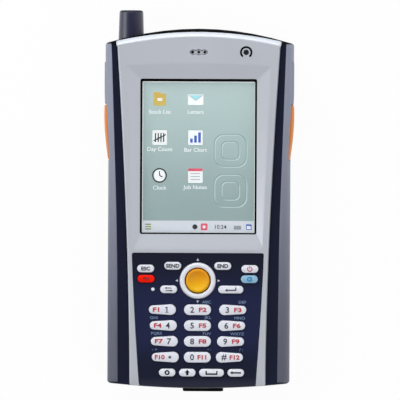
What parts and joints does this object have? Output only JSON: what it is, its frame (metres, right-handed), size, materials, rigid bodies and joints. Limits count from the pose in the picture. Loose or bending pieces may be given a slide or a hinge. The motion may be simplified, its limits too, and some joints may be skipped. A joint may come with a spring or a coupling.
{
  "type": "portable barcode data terminal",
  "caption": "Handheld barcode data terminal with display, keypad, side triggers, stub antenna and opening battery door.",
  "frame": {"origin": "middle of the outline, on the plane that the back rests on", "axes": "+Z out of the display, +Y towards the antenna, +X to the right of the display"},
  "size_m": [0.0904, 0.1812, 0.0369],
  "materials": {
    "cover_silver": "satin",
    "housing_dark": "matte",
    "keypad_navy": "satin",
    "grip_grey": "soft touch",
    "trigger_orange": "satin",
    "antenna_rubber": "satin",
    "key_pale": "satin",
    "key_red": "satin",
    "key_blue": "satin",
    "key_yellow": "satin",
    "panel_glass": "clear",
    "lens_clear": "frosted",
    "display_face": "satin",
    "seal_rubber": "matte",
    "mat_silicone": "matte",
    "board_green": "satin",
    "part_dark": "matte",
    "part_metal": "satin",
    "window_red": "clear",
    "contact_gold": "satin"
  },
  "bodies": {
    "terminal": {"front_cover": "cover_silver", "front_housing": "housing_dark", "rear_housing": "housing_dark", "keypad_plate": "keypad_navy", "left_grip": "grip_grey", "right_grip": "grip_grey", "housing_seal": "seal_rubber", "housing_screws": "part_metal", "antenna": "antenna_rubber", "touch_panel": "panel_glass", "lcd_module": "display_face", "display_gasket": "seal_rubber", "main_board": "board_green", "keypad_mat": "mat_silicone", "receiver": "part_metal", "loudspeaker": "part_dark", "microphone": "part_metal", "led_lenses": "lens_clear", "scan_engine": "part_dark", "scan_window": "window_red", "side_switches": "part_metal", "dock_connector": "part_dark", "battery_pack": "part_dark", "battery_contacts": "contact_gold", "door_pin": "part_metal", "door_catch": "part_metal", "port_cover_pin": "part_metal"},
    "scan_key": {"scan_key": "key_yellow"},
    "nav_pivot": {"nav_pivot": "part_dark"},
    "nav_ring": {"nav_ring": "key_pale"},
    "left_trigger": {"left_trigger": "trigger_orange"},
    "right_trigger": {"right_trigger": "trigger_orange"},
    "left_side_key": {"left_side_key": "grip_grey"},
    "right_side_key": {"right_side_key": "grip_grey"},
    "battery_door": {"battery_door": "part_dark"},
    "port_cover": {"port_cover": "seal_rubber"},
    "key_esc": {"key_esc": "key_pale"},
    "key_fn": {"key_fn": "key_red"},
    "key_power": {"key_power": "key_pale"},
    "key_alpha": {"key_alpha": "key_blue"},
    "key_send": {"key_send": "key_pale"},
    "key_end": {"key_end": "key_pale"},
    "key_tab": {"key_tab": "key_pale"},
    "key_enter": {"key_enter": "key_pale"},
    "key_1": {"key_1": "key_pale"},
    "key_2": {"key_2": "key_pale"},
    "key_3": {"key_3": "key_pale"},
    "key_4": {"key_4": "key_pale"},
    "key_5": {"key_5": "key_pale"},
    "key_6": {"key_6": "key_pale"},
    "key_7": {"key_7": "key_pale"},
    "key_8": {"key_8": "key_pale"},
    "key_9": {"key_9": "key_pale"},
    "key_star": {"key_star": "key_pale"},
    "key_0": {"key_0": "key_pale"},
    "key_hash": {"key_hash": "key_pale"},
    "key_circle": {"key_circle": "key_pale"},
    "key_shift": {"key_shift": "key_pale"},
    "key_space": {"key_space": "key_pale"},
    "key_backspace": {"key_backspace": "key_pale"}
  },
  "joints": [
    {"name": "battery_door_hinge", "type": "hinge", "parent": "terminal", "child": "battery_door", "pos_m": [0, -0.06448, 0.00175], "axis": [-1, 0, 0], "range_deg": [0, 95], "deforming": ["door_catch"]},
    {"name": "cover_of_port_hinge", "type": "hinge", "parent": "terminal", "child": "port_cover", "pos_m": [0.0019, -0.08962, 0.0066], "axis": [1, 0, 0], "range_deg": [0, 105]},
    {"name": "left_side_key_press", "type": "slide", "parent": "terminal", "child": "left_side_key", "axis": [1, 0, 0], "range_m": [0, 0.0007], "stiffness_N_per_m": 2000},
    {"name": "left_trigger_pull", "type": "slide", "parent": "terminal", "child": "left_trigger", "axis": [1, 0, 0], "range_m": [0, 0.0007], "stiffness_N_per_m": 2000},
    {"name": "nav_left_right", "type": "hinge", "parent": "terminal", "child": "nav_pivot", "pos_m": [0, -0.03782, 0.0308], "axis": [0, 1, 0], "range_deg": [-2.2, 2.2], "stiffness_Nm_per_rad": 0.28},
    {"name": "nav_up_down", "type": "hinge", "parent": "nav_pivot", "child": "nav_ring", "pos_m": [0, -0.03782, 0.0324], "axis": [1, 0, 0], "range_deg": [-2.2, 2.2], "stiffness_Nm_per_rad": 0.28},
    {"name": "right_side_key_press", "type": "slide", "parent": "terminal", "child": "right_side_key", "axis": [-1, 0, 0], "range_m": [0, 0.0007], "stiffness_N_per_m": 2000},
    {"name": "right_trigger_pull", "type": "slide", "parent": "terminal", "child": "right_trigger", "axis": [-1, 0, 0], "range_m": [0, 0.0007], "stiffness_N_per_m": 2000},
    {"name": "scan_key_press", "type": "slide", "parent": "terminal", "child": "scan_key", "axis": [0, 0, -1], "range_m": [0, 0.00055], "stiffness_N_per_m": 1500},
    {"name": "travel_of_key_esc", "type": "slide", "parent": "terminal", "child": "key_esc", "axis": [0, 0, -1], "range_m": [0, 0.00055], "stiffness_N_per_m": 1500},
    {"name": "travel_of_key_fn", "type": "slide", "parent": "terminal", "child": "key_fn", "axis": [0, 0, -1], "range_m": [0, 0.00055], "stiffness_N_per_m": 1500},
    {"name": "travel_of_key_power", "type": "slide", "parent": "terminal", "child": "key_power", "axis": [0, 0, -1], "range_m": [0, 0.00055], "stiffness_N_per_m": 1500},
    {"name": "travel_of_key_alpha", "type": "slide", "parent": "terminal", "child": "key_alpha", "axis": [0, 0, -1], "range_m": [0, 0.00055], "stiffness_N_per_m": 1500},
    {"name": "travel_of_key_send", "type": "slide", "parent": "terminal", "child": "key_send", "axis": [0, 0, -1], "range_m": [0, 0.00055], "stiffness_N_per_m": 1500},
    {"name": "travel_of_key_end", "type": "slide", "parent": "terminal", "child": "key_end", "axis": [0, 0, -1], "range_m": [0, 0.00055], "stiffness_N_per_m": 1500},
    {"name": "travel_of_key_tab", "type": "slide", "parent": "terminal", "child": "key_tab", "axis": [0, 0, -1], "range_m": [0, 0.00055], "stiffness_N_per_m": 1500},
    {"name": "travel_of_key_enter", "type": "slide", "parent": "terminal", "child": "key_enter", "axis": [0, 0, -1], "range_m": [0, 0.00055], "stiffness_N_per_m": 1500},
    {"name": "travel_of_key_1", "type": "slide", "parent": "terminal", "child": "key_1", "axis": [0, 0, -1], "range_m": [0, 0.00055], "stiffness_N_per_m": 1500},
    {"name": "travel_of_key_2", "type": "slide", "parent": "terminal", "child": "key_2", "axis": [0, 0, -1], "range_m": [0, 0.00055], "stiffness_N_per_m": 1500},
    {"name": "travel_of_key_3", "type": "slide", "parent": "terminal", "child": "key_3", "axis": [0, 0, -1], "range_m": [0, 0.00055], "stiffness_N_per_m": 1500},
    {"name": "travel_of_key_4", "type": "slide", "parent": "terminal", "child": "key_4", "axis": [0, 0, -1], "range_m": [0, 0.00055], "stiffness_N_per_m": 1500},
    {"name": "travel_of_key_5", "type": "slide", "parent": "terminal", "child": "key_5", "axis": [0, 0, -1], "range_m": [0, 0.00055], "stiffness_N_per_m": 1500},
    {"name": "travel_of_key_6", "type": "slide", "parent": "terminal", "child": "key_6", "axis": [0, 0, -1], "range_m": [0, 0.00055], "stiffness_N_per_m": 1500},
    {"name": "travel_of_key_7", "type": "slide", "parent": "terminal", "child": "key_7", "axis": [0, 0, -1], "range_m": [0, 0.00055], "stiffness_N_per_m": 1500},
    {"name": "travel_of_key_8", "type": "slide", "parent": "terminal", "child": "key_8", "axis": [0, 0, -1], "range_m": [0, 0.00055], "stiffness_N_per_m": 1500},
    {"name": "travel_of_key_9", "type": "slide", "parent": "terminal", "child": "key_9", "axis": [0, 0, -1], "range_m": [0, 0.00055], "stiffness_N_per_m": 1500},
    {"name": "travel_of_key_star", "type": "slide", "parent": "terminal", "child": "key_star", "axis": [0, 0, -1], "range_m": [0, 0.00055], "stiffness_N_per_m": 1500},
    {"name": "travel_of_key_0", "type": "slide", "parent": "terminal", "child": "key_0", "axis": [0, 0, -1], "range_m": [0, 0.00055], "stiffness_N_per_m": 1500},
    {"name": "travel_of_key_hash", "type": "slide", "parent": "terminal", "child": "key_hash", "axis": [0, 0, -1], "range_m": [0, 0.00055], "stiffness_N_per_m": 1500},
    {"name": "travel_of_key_circle", "type": "slide", "parent": "terminal", "child": "key_circle", "axis": [0, 0, -1], "range_m": [0, 0.00055], "stiffness_N_per_m": 1500},
    {"name": "travel_of_key_shift", "type": "slide", "parent": "terminal", "child": "key_shift", "axis": [0, 0, -1], "range_m": [0, 0.00055], "stiffness_N_per_m": 1500},
    {"name": "travel_of_key_space", "type": "slide", "parent": "terminal", "child": "key_space", "axis": [0, 0, -1], "range_m": [0, 0.00055], "stiffness_N_per_m": 1500},
    {"name": "travel_of_key_backspace", "type": "slide", "parent": "terminal", "child": "key_backspace", "axis": [0, 0, -1], "range_m": [0, 0.00055], "stiffness_N_per_m": 1500}
  ]
}
